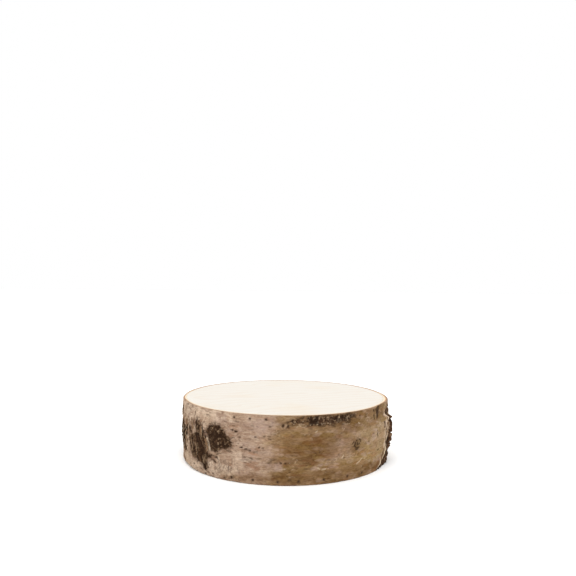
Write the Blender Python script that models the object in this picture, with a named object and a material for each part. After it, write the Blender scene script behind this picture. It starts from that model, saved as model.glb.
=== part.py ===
# Wood slice: a round of pale birch with its bark still on
import math

import bmesh
import bpy

# Driving dimensions, in metres
WOOD_RADIUS = 0.099
SLICE_HEIGHT = 0.060
BARK_THICKNESS = 0.0022
WOOD_TO_BARK_GAP = 0.0003
SAWN_EDGE_CHAMFER = 0.0004
RIPPLE_HEIGHT = 0.00025

# How finely the round pieces are divided
WOOD_SIDES = 120
BARK_SIDES = 180
BARK_LEVELS = (0.0, 0.004, 0.009, 0.014, 0.020, 0.026, 0.032,
               0.037, 0.042, 0.047, 0.052, 0.056, 0.060)

# Colours and finishes: red, green, blue, roughness
WOOD_FINISH = (0.80, 0.70, 0.55, 0.55)
BARK_FINISH = (0.30, 0.22, 0.15, 0.85)

# Plates of bark that stand off the round. Angles are degrees anticlockwise from +X, seen
# from above: a plate rises from start to crest and ends at end. It runs from foot up to
# crown and stands off by lift at the height called widest, and by foot_share of that at
# its foot.
PLATES = {
    "right plate, thick edge": dict(start=332, crest=344, end=348.5, foot=0.0, widest=0.040,
                                    crown=0.049, lift=0.0075, foot_share=0.20),
    "right plate, broken end": dict(start=343, crest=350, end=352, foot=0.006, widest=0.034,
                                    crown=0.047, lift=0.0054, foot_share=0.35),
    "right upper plate": dict(start=350, crest=362, end=372, foot=0.010, widest=0.040,
                              crown=0.058, lift=0.0032, foot_share=0.40),
    "back curl": dict(start=90, crest=95, end=99, foot=0.018, widest=0.037,
                      crown=0.050, lift=0.0050, foot_share=0.35),
    "back paper layers": dict(start=78, crest=88, end=95, foot=0.012, widest=0.042,
                              crown=0.056, lift=0.0012, foot_share=0.60),
    "left rough bark, back": dict(start=139, crest=148, end=155, foot=0.004, widest=0.036,
                                  crown=0.057, lift=0.0026, foot_share=0.70),
    "left rough bark, middle": dict(start=149, crest=162, end=170, foot=0.0, widest=0.032,
                                    crown=0.055, lift=0.0026, foot_share=0.80),
    "left rough bark, front": dict(start=166, crest=176, end=184, foot=0.006, widest=0.032,
                                   crown=0.054, lift=0.0018, foot_share=0.60),
    "left edge curl": dict(start=184, crest=192, end=198, foot=0.012, widest=0.030,
                           crown=0.042, lift=0.0020, foot_share=0.50),
    "low left flap": dict(start=198, crest=202, end=206, foot=0.0, widest=0.006,
                          crown=0.012, lift=0.0012, foot_share=0.80),
    "fissured bark": dict(start=206, crest=220, end=226, foot=0.004, widest=0.026,
                          crown=0.050, lift=0.0012, foot_share=0.50),
    "lip by the branch scar": dict(start=222, crest=229, end=232, foot=0.012, widest=0.026,
                                   crown=0.040, lift=0.0040, foot_share=0.40),
}

# Low mounds on the bark: middle angle, half width in degrees, height, half height, rise
MOUNDS = {
    "branch scar": dict(angle=236, half_width=9, height=0.033, half_height=0.015, rise=0.0016),
    "bud knot": dict(angle=308, half_width=4, height=0.030, half_height=0.006, rise=0.0009),
    "rough band below the rim": dict(angle=290, half_width=20, height=0.055,
                                     half_height=0.006, rise=0.0005),
    "bump at the front left": dict(angle=248, half_width=3, height=0.012,
                                   half_height=0.008, rise=0.0008),
}


def clear_scene():
    for old_object in list(bpy.data.objects):
        bpy.data.objects.remove(old_object, do_unlink=True)


def make_material(name, finish):
    material = bpy.data.materials.new(name)
    material.use_nodes = True
    shader = material.node_tree.nodes["Principled BSDF"]
    shader.inputs["Base Color"].default_value = (finish[0], finish[1], finish[2], 1.0)
    shader.inputs["Roughness"].default_value = finish[3]
    shader.inputs["Metallic"].default_value = 0.0
    return material


def degrees_past(angle, start):
    # How far angle lies past start, going anticlockwise
    return (angle - start) % 360.0


def eased(share):
    share = min(max(share, 0.0), 1.0)
    return share * share * (3.0 - 2.0 * share)


def plate_lift(plate, angle, height):
    # The plate stands off most at its crest and widest height, and fades to its edges
    past = degrees_past(angle, plate["start"])
    rise = plate["crest"] - plate["start"]
    whole = plate["end"] - plate["start"]
    if past >= whole or not plate["foot"] <= height < plate["crown"]:
        return 0.0
    around = eased(past / rise) if past <= rise else (whole - past) / (whole - rise)
    if height >= plate["widest"]:
        up = (plate["crown"] - height) / (plate["crown"] - plate["widest"])
        return plate["lift"] * around * eased(up)
    up = (height - plate["foot"]) / (plate["widest"] - plate["foot"])
    share = plate["foot_share"] + (1.0 - plate["foot_share"]) * up
    return plate["lift"] * around * share


def mound_rise(mound, angle, height):
    across = (degrees_past(angle, mound["angle"] - 180.0) - 180.0) / mound["half_width"]
    up = (height - mound["height"]) / mound["half_height"]
    return mound["rise"] * eased(1.0 - math.hypot(across, up))


def bark_radius(angle, height):
    # Outer radius of the bark at an angle in degrees and a height in metres
    turn = math.radians(angle)
    climb = height / SLICE_HEIGHT
    ripple = math.sin(7 * turn + 3.1 * climb) + 0.6 * math.sin(19 * turn - 5.3 * climb)
    ripple = ripple + 0.4 * math.sin(31 * turn + 9.7 * climb)
    lift = max(plate_lift(plate, angle, height) for plate in PLATES.values())
    rise = max(mound_rise(mound, angle, height) for mound in MOUNDS.values())
    inner = WOOD_RADIUS + WOOD_TO_BARK_GAP
    return inner + BARK_THICKNESS + 0.5 * RIPPLE_HEIGHT * ripple + max(lift, rise)


def add_loop(mesh, sides, radius_at, height):
    # One closed loop of points round +Z
    points = []
    for step in range(sides):
        angle = 360.0 * step / sides
        radius = radius_at(angle)
        turn = math.radians(angle)
        points.append(mesh.verts.new((radius * math.cos(turn), radius * math.sin(turn), height)))
    return points


def join_loops(mesh, lower, upper):
    # A band of faces between two loops, facing outward when upper follows lower
    count = len(lower)
    for step in range(count):
        after = (step + 1) % count
        mesh.faces.new((lower[step], lower[after], upper[after], upper[step]))


def finish_object(name, mesh, material, sharp_degrees):
    bmesh.ops.triangulate(mesh, faces=mesh.faces[:])
    data = bpy.data.meshes.new(name)
    mesh.to_mesh(data)
    mesh.free()
    data.shade_smooth()
    data.set_sharp_from_angle(angle=math.radians(sharp_degrees))
    data.materials.append(material)
    piece = bpy.data.objects.new(name, data)
    bpy.context.scene.collection.objects.link(piece)
    return piece


def make_wood(material):
    # The solid round, sawn flat on both faces, with its sawn edges just broken
    mesh = bmesh.new()
    trimmed = WOOD_RADIUS - SAWN_EDGE_CHAMFER
    profile = ((trimmed, 0.0),
               (WOOD_RADIUS, SAWN_EDGE_CHAMFER),
               (WOOD_RADIUS, SLICE_HEIGHT - SAWN_EDGE_CHAMFER),
               (trimmed, SLICE_HEIGHT))
    loops = [add_loop(mesh, WOOD_SIDES, lambda angle, r=radius: r, height)
             for radius, height in profile]
    for lower, upper in zip(loops, loops[1:]):
        join_loops(mesh, lower, upper)
    mesh.faces.new(list(reversed(loops[0])))
    mesh.faces.new(loops[-1])
    return finish_object("wood", mesh, material, 40.0)


def make_bark(material):
    # A sleeve round the wood: a plain inner wall and a rough outer one
    mesh = bmesh.new()
    inner_radius = WOOD_RADIUS + WOOD_TO_BARK_GAP
    outer = [add_loop(mesh, BARK_SIDES, lambda angle, h=height: bark_radius(angle, h), height)
             for height in BARK_LEVELS]
    inner = [add_loop(mesh, BARK_SIDES, lambda angle: inner_radius, height)
             for height in (SLICE_HEIGHT, 0.0)]
    loops = outer + inner
    for lower, upper in zip(loops, loops[1:] + loops[:1]):
        join_loops(mesh, lower, upper)
    return finish_object("bark", mesh, material, 50.0)


clear_scene()
make_wood(make_material("birch wood", WOOD_FINISH))
make_bark(make_material("birch bark", BARK_FINISH))
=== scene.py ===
# A round slice of pale birch, sawn flat, with its bark still on
import itertools
import math

import bpy
import numpy as np
from mathutils import Matrix, Vector


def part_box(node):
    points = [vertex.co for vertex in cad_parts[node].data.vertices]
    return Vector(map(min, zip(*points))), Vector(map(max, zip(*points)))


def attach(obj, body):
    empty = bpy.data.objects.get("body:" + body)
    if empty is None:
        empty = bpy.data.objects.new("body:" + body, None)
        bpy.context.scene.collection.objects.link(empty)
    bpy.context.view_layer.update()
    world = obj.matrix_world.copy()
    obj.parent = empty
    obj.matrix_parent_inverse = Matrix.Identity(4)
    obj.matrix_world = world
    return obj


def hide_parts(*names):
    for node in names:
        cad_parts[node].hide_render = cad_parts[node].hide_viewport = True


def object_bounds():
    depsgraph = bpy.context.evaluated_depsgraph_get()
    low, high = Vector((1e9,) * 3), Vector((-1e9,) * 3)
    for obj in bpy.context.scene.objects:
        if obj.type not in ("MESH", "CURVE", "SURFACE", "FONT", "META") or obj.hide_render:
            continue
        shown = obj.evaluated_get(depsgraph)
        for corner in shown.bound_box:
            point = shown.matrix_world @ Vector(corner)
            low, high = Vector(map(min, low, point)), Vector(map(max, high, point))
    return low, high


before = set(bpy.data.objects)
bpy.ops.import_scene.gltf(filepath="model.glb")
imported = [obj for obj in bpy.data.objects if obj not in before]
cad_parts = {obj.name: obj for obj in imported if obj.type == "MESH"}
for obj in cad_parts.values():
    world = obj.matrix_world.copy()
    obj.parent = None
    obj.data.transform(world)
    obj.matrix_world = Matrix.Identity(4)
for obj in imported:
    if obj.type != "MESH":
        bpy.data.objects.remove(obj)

cadLow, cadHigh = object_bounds()
mm = 0.001                          # relief is worked out in millimetres
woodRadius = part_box("wood")[1].x / mm
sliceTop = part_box("wood")[1].z / mm
print("frame in place, wood", round(2 * woodRadius), "mm across")


# Soft noise and shaping

noiseTable = np.random.default_rng(11)
noiseSlopes = noiseTable.normal(size=(256, 3))
noiseSlopes /= np.linalg.norm(noiseSlopes, axis=1)[:, None]
noiseOrder = noiseTable.permutation(256)


def softNoise(spots, size, shift=0):
    # smooth lumps about -1 to 1, one lump to each size in mm
    place = spots / np.asarray(size, float) + 17.31 * shift
    cell = np.floor(place).astype(int)
    part = place - cell
    fade = part ** 3 * (part * (part * 6 - 15) + 10)
    total = np.zeros(place.shape[:-1])
    for corner in itertools.product((0, 1), repeat=3):
        x, y, z = np.moveaxis(cell + corner, -1, 0)
        pick = noiseOrder[(noiseOrder[(noiseOrder[x & 255] + y) & 255] + z) & 255]
        weight = np.prod(np.where(corner, fade, 1 - fade), axis=-1)
        total += weight * np.einsum("...i,...i", noiseSlopes[pick], part - corner)
    return total * 1.6


def layeredNoise(spots, size, layers=3, shift=0):
    # the same lumps with finer ones on top
    size = np.asarray(size, float)
    total = sum(softNoise(spots, size / 2 ** n, shift + n) / 2 ** n for n in range(layers))
    return total / (2 - 0.5 ** (layers - 1))


def softStep(value, low, high):
    share = np.clip((value - low) / (high - low), 0, 1)
    return share * share * (3 - 2 * share)


def bell(value, width):
    return np.exp(-(value / width) ** 2)


def strongest(fields):
    return np.max(list(fields), axis=0)


# Bark sleeve: a fine grid of points, angle round and height up

sleeve = dict(
    around=960,           # points round
    levels=84,            # points up
    skinRadius=101.5,     # smooth bark, outside
    innerRadius=99.02,    # where it meets the wood
    edgeRows=4,           # points across the sawn edge
)

angle, height = np.meshgrid(
    np.arange(sleeve["around"]) * 360 / sleeve["around"],
    np.linspace(0, sliceTop, sleeve["levels"]))
turn = np.radians(angle)
skin = np.stack([sleeve["skinRadius"] * np.cos(turn),
                 sleeve["skinRadius"] * np.sin(turn), height], -1)
mmPerDegree = math.radians(1) * sleeve["skinRadius"]


def degreesFrom(middle):
    return (angle - middle + 180) % 360 - 180


wander = [layeredNoise(skin, 5.0, 3, shift) for shift in (7, 12)]


def unrolled(points, middle):
    # (angle, height) points laid flat: mm round from middle, mm up
    return [((a - middle) * mmPerDegree, h) for a, h in points]


def awayFrom(line, across, up):
    # mm to the nearest stretch of a line laid flat
    nearest = np.full(angle.shape, 1e6)
    for (ax, ay), (bx, by) in zip(line, line[1:]):
        dx, dy = bx - ax, by - ay
        along = np.clip(((across - ax) * dx + (up - ay) * dy) / (dx * dx + dy * dy), 0, 1)
        nearest = np.minimum(nearest, np.hypot(across - ax - along * dx, up - ay - along * dy))
    return nearest


def insideBy(outline, ragged):
    # how far inside an outline of (angle, height) corners each point lies, in mm
    middle = sum(a for a, h in outline) / len(outline)
    across = degreesFrom(middle) * mmPerDegree + ragged * wander[0]
    up = height + ragged * wander[1]
    corners = unrolled(outline + outline[:1], middle)
    inside = np.zeros(angle.shape, bool)
    for (ax, ay), (bx, by) in zip(corners, corners[1:]):
        cut = (bx - ax) * (up - ay) / ((by - ay) or 1.0) + ax
        inside ^= ((ay > up) != (by > up)) & (across < cut)
    nearest = awayFrom(corners, across, up)
    return np.where(inside, nearest, -nearest)


def zone(outline, soft, ragged=3.0):
    # 1 inside an outline, 0 outside, with an edge that is soft and ragged by so many mm
    return softStep(insideBy(outline, ragged), -soft, soft)


def nearLine(line, width, ragged=0.3, shift=0):
    # 1 on a broken line of (angle, height) points, fading to 0 at width mm from it
    middle = line[0][0]
    across = degreesFrom(middle) * mmPerDegree + ragged * softNoise(skin, 2.0, shift)
    up = height + ragged * softNoise(skin, 2.0, shift + 1)
    return 1 - softStep(awayFrom(unrolled(line, middle), across, up), 0, width)


# Standing plates, at the same places as in the frame: they rise from start to crest,
# end at end, and stand off most at the height called widest
standingPlates = dict(
    rightThick=dict(start=333, crest=344.5, end=348, foot=0, widest=39, crown=49,
                    lift=8.6, footShare=0.2, swell=1.4),
    rightBroken=dict(start=343, crest=350, end=351.5, foot=6, widest=36, crown=48,
                     lift=5.0, footShare=0.2, swell=1.0),
    rightUpper=dict(start=347, crest=355, end=371, foot=10, widest=42, crown=53,
                    lift=3.4, footShare=0.4, swell=0.8),
    rightRim=dict(start=336, crest=350, end=376, foot=42, widest=54, crown=70,
                  lift=2.2, footShare=0.3, swell=0.8),
    backCurl=dict(start=91, crest=95, end=98, foot=18, widest=40, crown=51,
                  lift=3.4, footShare=0.35, swell=1.2),
    leftBack=dict(start=139, crest=148, end=155, foot=4, widest=42, crown=57,
                  lift=2.6, footShare=0.7, swell=1.0),
    leftMiddle=dict(start=149, crest=162, end=170, foot=0, widest=42, crown=56,
                    lift=2.4, footShare=0.7, swell=1.0),
    leftFront=dict(start=166, crest=176, end=184, foot=6, widest=32, crown=56,
                   lift=1.2, footShare=0.6, swell=1.0),
    leftEdge=dict(start=183, crest=190, end=200, foot=14, widest=32, crown=66,
                  lift=0.9, footShare=0.1, swell=0.7),
    fissured=dict(start=206, crest=220, end=226, foot=4, widest=26, crown=50,
                  lift=0.8, footShare=0.5, swell=1.0),
)


def plateLift(plate):
    past = (angle + 1.1 * softNoise(skin, (9, 9, 4), 3) - plate["start"]) % 360
    level = height + 1.8 * softNoise(skin, 5.0, 4)
    rise = plate["crest"] - plate["start"]
    whole = plate["end"] - plate["start"]
    climbing = np.clip(past / rise, 0, 1) ** plate["swell"]
    falling = np.clip((whole - past) / (whole - rise), 0, 1)
    aroundShare = np.where(past < rise, climbing, falling) * (past < whole)
    over = softStep(plate["crown"] - level, 0, 4)
    under = plate["footShare"] + (1 - plate["footShare"]) * np.clip(
        (level - plate["foot"]) / (plate["widest"] - plate["foot"]), 0, 1)
    upShare = np.where(level > plate["widest"], over, under) * (level > plate["foot"] - 1)
    return plate["lift"] * aroundShare * upShare


waves = 0.07 * (np.sin(7 * turn + 3.1 * height / sliceTop)
                + 0.6 * np.sin(19 * turn - 5.3 * height / sliceTop)
                + 0.4 * np.sin(31 * turn + 9.7 * height / sliceTop))
standOff = strongest(plateLift(plate) for plate in standingPlates.values())

# Where the bark is crusty and dark: outlines of (angle, height)
crust = dict(
    scar=[(227.4, 44.8), (231.3, 47.0), (235.4, 47.8), (238.6, 45.2), (240, 40.4), (242.6, 37),
          (243.2, 32.6), (241.2, 27.6), (237.6, 26.6), (233.4, 22.6), (230, 23.4),
          (229.2, 28), (228.4, 33.4), (226.6, 37.6), (226.3, 41.5)],
    fissured=[(216.4, 47.6), (220.8, 48), (221.3, 41), (223.9, 37.4), (225.6, 34), (225.8, 27.6),
              (226.4, 21.6), (229.6, 21), (231.2, 18.6), (227.8, 15.4), (227.2, 4), (224, 4),
              (223, 10), (217.8, 11.8), (213.6, 13.2), (211, 20), (209, 28), (211.8, 32.6),
              (217.4, 36.6), (216.6, 42.6)],
    leftStrips=[(187, 40), (195, 39), (200.6, 36.6), (205.6, 37.4), (205.8, 31), (202.6, 26),
                (200.6, 20.4), (203.4, 18), (203, 13.6), (196, 13), (188, 18)],
    leftStreak=[(208.4, 38.4), (211, 38.8), (211.6, 30), (213, 20), (214, 16.6), (211, 15.6),
                (209.4, 23), (208.6, 31)],
    rimBand=[(281.2, 58.4), (287.9, 59.2), (300, 59), (307.9, 58.6), (307.6, 55.3),
             (305.3, 53.5), (303, 51.4), (299.4, 51.9), (294.6, 50.2), (290.9, 51.1),
             (287.9, 49.6), (284.9, 50.8), (282.3, 51.4), (280.8, 54.5)],
    rimBandLeft=[(268, 50.4), (269.6, 49), (274.7, 52.2), (278, 53.4), (281.5, 55.5),
                 (281.5, 58), (277, 58.4), (272.4, 56), (269.8, 53.8)],
    rightPlate=[(326.6, 0), (329.8, 3.4), (334.6, 5.2), (338.4, 9.5), (338.9, 15), (339.6, 22),
                (340.4, 30), (340.0, 40), (341.0, 51.5), (346, 55), (352, 51), (353, 5), (347, 0)],
    rightUpper=[(352, 8), (354, 46), (360, 50), (370, 49), (374, 40), (368, 14)],
    leftRough=[(138, 44), (144, 56), (151, 59), (155, 50), (160, 44), (163, 52), (172, 57),
               (178, 50), (182, 34), (187, 28), (184, 12), (176, 7), (170, 16), (166, 10),
               (160, 0), (146, 0), (147, 14), (141, 22)],
    leftPatch=[(128, 22), (133, 27), (138, 22), (137, 12), (131, 9)],
    leftLow=[(170, 5), (178, 7), (183, 3), (176, 0)],
    backScar=[(62, 20), (66, 40), (72, 46), (80, 38), (84, 26), (74, 18)],
    backBand=[(98, 56), (104, 59), (122, 59), (128, 54), (118, 51), (108, 52), (102, 48)],
    backFoot=[(20, 2), (26, 10), (38, 7), (46, 0), (24, 0)],
)
crustRagged = dict(leftStrips=3.0, leftRough=6.0, leftPatch=4.0, backScar=4.0, backBand=3.0,
                   rightUpper=3.5, others=2.0)       # mm that an outline wanders by
crustInside = {name: insideBy(outline, crustRagged.get(name, crustRagged["others"]))
               for name, outline in crust.items()}
fringe = 1.6 * layeredNoise(skin, (2.6, 2.6, 2.2), 3, 18)
crusty = {name: softStep(inside + fringe, -0.9, 1.1) for name, inside in crustInside.items()}
crusty["rimBandLeft"] *= softStep(softNoise(skin, (4.0, 4.0, 3.2), 20), -0.32, -0.1)
stainEdge = 2.6 * layeredNoise(skin, (7, 7, 3), 3, 19)
stained = strongest(softStep(inside + stainEdge, -5.0, 1.5) for inside in crustInside.values())


def anyOf(*names):
    # where any of these crusts is
    return strongest(crusty[name] for name in names)


bandMask = anyOf("rimBand", "rimBandLeft", "backBand", "backFoot")
plateMask = anyOf("rightPlate", "rightUpper")
anyCrust = anyOf(*crusty)


def chips(wide, tall, seed, warp=0.35, leaning=0.0):
    # broken bark as cells: how deep inside a cell, 0 at its edge, and a number for each cell
    picks = np.random.default_rng(seed).random((3, 256))
    columns = round(2 * math.pi * sleeve["skinRadius"] / wide)
    x = angle / 360 * columns + leaning * height / wide + warp * softNoise(skin, 1.7 * wide, seed)
    y = height / tall + warp * softNoise(skin, 1.7 * wide, seed + 1)
    nearest, second = np.full(x.shape, 9.0), np.full(x.shape, 9.0)
    number = np.zeros(x.shape)
    for stepX, stepY in itertools.product((-1, 0, 1), repeat=2):
        cellX, cellY = np.floor(x) + stepX, np.floor(y) + stepY
        pick = noiseOrder[(noiseOrder[cellX.astype(int) % columns % 256]
                           + cellY.astype(int)) % 256]
        away = np.hypot(cellX + picks[0][pick] - x, cellY + picks[1][pick] - y)
        second = np.minimum(second, np.maximum(nearest, away))
        number = np.where(away < nearest, picks[2][pick], number)
        nearest = np.minimum(nearest, away)
    return softStep(second - nearest, 0.02, 0.3), number


grainIn, grainTone = chips(2.1, 1.9, 101)
stripIn, stripTone = chips(2.6, 8.5, 103, 0.5, 0.35)
blockIn, blockTone = chips(5.5, 4.6, 105, 0.5)
scaleIn, scaleTone = chips(4.4, 9.0, 111, 0.9, -0.15)
lumps = layeredNoise(skin, (3.2, 3.2, 3.6), 3, 25)
dips = softStep(-lumps, 0.0, 0.4)
knobs = softNoise(skin, (7, 7, 8), 26) + 0.5 * softNoise(skin, (3.5, 3.5, 4), 28)

# Each kind of crust: where it is, its relief in mm, how light its grit is and how much painted
# shade darkens the gaps and dips in it. Granules lie on the scar and bands, leaning strips on the
# fissured bark, thick cork blocks on the plates, tall scales at the far left.
crustKinds = dict(
    scar=dict(
        where=anyOf("scar", "backScar"),
        relief=0.3 + 0.8 * grainTone * grainIn - 0.4 * (1 - grainIn) + 0.7 * lumps,
        grit=0.76 * grainTone ** 1.4 + 0.12,
        gapShade=0.75 * (1 - grainIn) + 0.6 * dips),
    band=dict(
        where=bandMask,
        relief=0.9 * grainTone * grainIn - 0.4 * (1 - grainIn) + 0.5 * lumps,
        grit=0.9 * grainTone ** 0.9 + 0.16,
        gapShade=0.7 * (1 - grainIn) + 0.5 * dips),
    fissured=dict(
        where=anyOf("fissured", "leftStrips", "leftStreak"),
        relief=(1.2 * stripTone * stripIn - 0.9 * (1 - stripIn) - 0.2
                + 0.25 * grainTone + 0.35 * lumps),
        grit=0.66 * stripTone ** 1.4 + 0.26 * grainTone + 0.06,
        gapShade=np.maximum(0.9 * (1 - stripIn), 0.45 * (1 - grainIn))),
    plate=dict(
        where=plateMask,
        relief=(1.3 * blockTone * blockIn - 0.8 * (1 - blockIn) - 0.4
                + 0.4 * grainTone * grainIn + 0.5 * lumps),
        grit=0.45 * blockTone + 0.42 * grainTone + 0.04,
        gapShade=np.maximum(0.85 * (1 - blockIn), 0.4 * (1 - grainIn))),
    scaly=dict(
        where=anyOf("leftRough", "leftPatch", "leftLow"),
        relief=(1.5 * scaleTone * scaleIn - 0.9 * (1 - scaleIn) - 0.3
                + 0.5 * stripTone * stripIn + 0.25 * grainTone + 0.5 * lumps),
        grit=0.45 * scaleTone + 0.2 * stripTone + 0.2 * grainTone,
        gapShade=np.maximum(0.85 * (1 - scaleIn), 0.5 * (1 - stripIn))),
)


def overCrusts(what):
    # one of those fields of every kind of crust, each only where its crust is
    return [kind["where"] * kind[what] for kind in crustKinds.values()]


relief = sum(overCrusts("relief"))
relief += crusty["rightPlate"] * 2.2 * np.minimum(knobs, 0.35) * softStep(standOff, 1, 5)

# Papery bark: patches of thin layers that end in ragged steps, with fine level streaks
patchIn, patchTone = chips(9.5, 3.4, 107, 0.8)
smallIn, smallTone = chips(4.2, 1.5, 109, 0.8)
shredIn, shredTone = chips(3.0, 5.4, 113, 1.2, 0.12)
sheetField = layeredNoise(skin, (34, 34, 11), 4, 31)
sheetEnds = (-0.25, 0.12, 0.38)
papery = 1 - anyCrust
steps = sum(softStep(sheetField, end, end + 0.015) for end in sheetEnds)
stepHere = softStep(softNoise(skin, (15, 15, 8), 33), 0.05, 0.3)
stepLips = stepHere * sum(bell(sheetField - end - 0.02, 0.012) for end in sheetEnds)
stepShade = stepHere * sum(bell(sheetField - end + 0.008, 0.012) for end in sheetEnds)
streaks = softNoise(skin, (8, 8, 0.9), 35) + 0.6 * softNoise(skin, (3, 3, 0.45), 36)
relief += papery * (0.12 * steps + 0.05 * stepLips + 0.04 * streaks + 0.08 * patchTone * patchIn)
wornPlaces = (
    [(180, 48), (212, 61), (222, 50), (228, 47), (229, 20), (228, 0), (180, 0)],
    [(204, 16), (228, 22), (243, 15), (247, 2), (226, 0), (204, 0)],
)
worn = papery * strongest(zone(outline, 3) for outline in wornPlaces)
worn = np.maximum(worn, papery * softStep(softNoise(skin, (30, 30, 26), 34), 0.2, 0.5)
                  * (np.abs(degreesFrom(120)) < 62))
relief += worn * (0.45 * shredTone * shredIn - 0.3 * (1 - shredIn))
relief += 0.15 * softNoise(skin, (14, 14, 9), 38)

# Dark marks in the papery bark: level dashes and upright cracks
marks = dict(
    # angle, height, half length round, half height, depth of colour
    dashes=[(243.4, 44.8, 1.6, 0.8, 0.9), (245.3, 43.9, 1.7, 0.9, 1.0), (247.6, 39.4, 1.3, 0.6, 0.6),
            (246.2, 41.6, 1.0, 0.5, 0.6), (244.1, 48.6, 1.2, 0.6, 0.6), (255.7, 40.6, 1.0, 0.7, 1.0),
            (254.1, 50.3, 2.2, 0.7, 0.35), (253.6, 46.6, 1.9, 0.7, 0.4), (260.2, 41.8, 1.2, 0.6, 0.6),
            (262.6, 41.8, 1.4, 0.6, 0.6), (262.9, 39.4, 1.4, 0.5, 0.6), (265.1, 44, 1.4, 0.5, 0.5),
            (257.6, 31.9, 1.0, 0.6, 0.9), (259.5, 31.5, 1.4, 0.5, 0.5), (248.4, 30.6, 1.6, 0.7, 1.0),
            (250.6, 29.7, 1.6, 0.8, 0.9), (252.9, 28.6, 1.5, 0.7, 0.8), (254.9, 27.6, 1.4, 0.6, 0.7),
            (257, 27.9, 1.3, 0.5, 0.5), (250.2, 22.5, 1.4, 0.6, 0.7), (253.4, 22, 1.6, 0.8, 0.8),
            (250.4, 18.2, 1.6, 0.6, 0.7), (253, 18.8, 1.3, 0.5, 0.6), (245.8, 31.7, 0.9, 0.5, 0.6),
            (262.3, 19.1, 2.6, 0.5, 0.6), (266, 19.2, 1.6, 0.5, 0.5), (268.4, 19.2, 0.9, 0.6, 1.0),
            (270.4, 19.3, 0.9, 0.6, 0.9), (264.2, 22, 2.6, 0.6, 0.45), (272.5, 11.8, 0.8, 0.6, 0.7),
            (271.3, 8.2, 0.8, 0.7, 0.6), (263, 50.3, 1.0, 0.7, 0.6), (264.2, 53.4, 0.8, 0.5, 0.5),
            (267, 46.4, 1.8, 0.5, 0.4), (296.5, 37.5, 1.8, 0.5, 0.4), (297.9, 24.2, 1.2, 0.5, 0.5),
            (301, 20.4, 2.0, 0.5, 0.6), (299.5, 42.3, 1.4, 0.5, 0.4), (285.5, 27, 1.0, 0.6, 0.5),
            (287.5, 27.6, 0.8, 0.6, 0.5), (275, 14.6, 3.0, 0.5, 0.35), (236.7, 58, 1.4, 0.5, 0.35),
            (228.9, 56.6, 1.4, 0.5, 0.4), (307.8, 56.6, 0.9, 0.9, 0.9), (311.6, 55.5, 0.8, 0.6, 0.9),
            (304.8, 52.6, 0.8, 0.5, 0.7), (328.9, 36.6, 0.5, 0.9, 0.7), (329, 32.6, 0.5, 0.9, 0.8),
            (251, 29.4, 4.0, 1.0, 0.55), (255.4, 27.7, 4.4, 1.0, 0.5), (251.8, 20.8, 3.6, 1.3, 0.45),
            (244.4, 38.2, 1.0, 0.5, 0.5), (245.6, 35.4, 1.2, 0.5, 0.5), (247.4, 36.8, 1.0, 0.5, 0.45),
            (243.8, 33.8, 0.9, 0.5, 0.5), (246.8, 33.6, 1.0, 0.4, 0.4), (257.4, 22.4, 2.6, 0.7, 0.3),
            (243, 3.9, 1.2, 0.8, 0.7), (239.2, 1.7, 1.2, 0.7, 0.7), (242.2, 2.2, 1.4, 0.6, 0.6),
            (231.5, 3, 1.4, 0.7, 0.8), (225.9, 1.4, 1.6, 0.7, 0.8), (215.6, 6.4, 1.6, 0.8, 0.6)],
    cracks=[(218.6, 44.3, 1.3, 3.4, 1.0), (218.7, 38.6, 0.7, 3.0, 0.8), (228.6, 43.4, 0.5, 3.4, 0.7),
            (202.2, 50, 0.6, 4.0, 0.5), (193.8, 50.6, 0.7, 3.6, 0.6), (207.5, 45, 0.5, 4.2, 0.5),
            (198, 46, 0.5, 5.0, 0.6), (241.4, 11.4, 0.35, 3.8, 0.7), (236.6, 12, 0.3, 3.2, 0.4),
            (246.6, 12, 0.3, 2.6, 0.35), (213.6, 44.6, 0.4, 2.4, 0.5), (234.4, 9.4, 0.3, 2.6, 0.4)],
    seededDashes=420, longestDash=3.6, seededCracks=90, longestCrack=3.2, dent=0.16,
)
markMask = np.zeros(angle.shape)
markPick = np.random.default_rng(5)


def addMark(middleAngle, middleHeight, halfLong, halfHigh, strength):
    level = np.abs(height[:, 0] - middleHeight) < halfHigh + 2
    away = np.hypot(degreesFrom(middleAngle)[level] * mmPerDegree / (halfLong + 0.3),
                    (height[level] - middleHeight) / (halfHigh + 0.1))
    away += 0.5 * softNoise(skin[level], 1.5, 42)
    markMask[level] = np.maximum(markMask[level], strength * (1 - softStep(away, 0.5, 1.3)))


for mark in marks["dashes"] + marks["cracks"]:
    addMark(*mark)
for seeded in range(marks["seededDashes"]):
    addMark(markPick.uniform(0, 360), markPick.uniform(2, sliceTop - 2),
            markPick.uniform(0.25, 1) ** 2 * marks["longestDash"], markPick.uniform(0.35, 0.6),
            markPick.uniform(0.1, 0.6))
for seeded in range(marks["seededCracks"]):
    place = (markPick.uniform(186, 250) if seeded % 2 else markPick.uniform(0, 186))
    addMark(place, markPick.uniform(4, 56), markPick.uniform(0.15, 0.35),
            markPick.uniform(0.8, 1) * marks["longestCrack"], markPick.uniform(0.15, 0.45))
for crustName in ("scar", "fissured", "leftStrips", "rimBand"):
    # loose specks round the darkest places
    near = crustInside[crustName]
    speckled = (near < 0.5) * softStep(near, -6, -0.5) * (smallTone > 0.72) * smallIn
    markMask = np.maximum(markMask, 0.75 * speckled)
markMask *= papery
relief -= marks["dent"] * markMask

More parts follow.
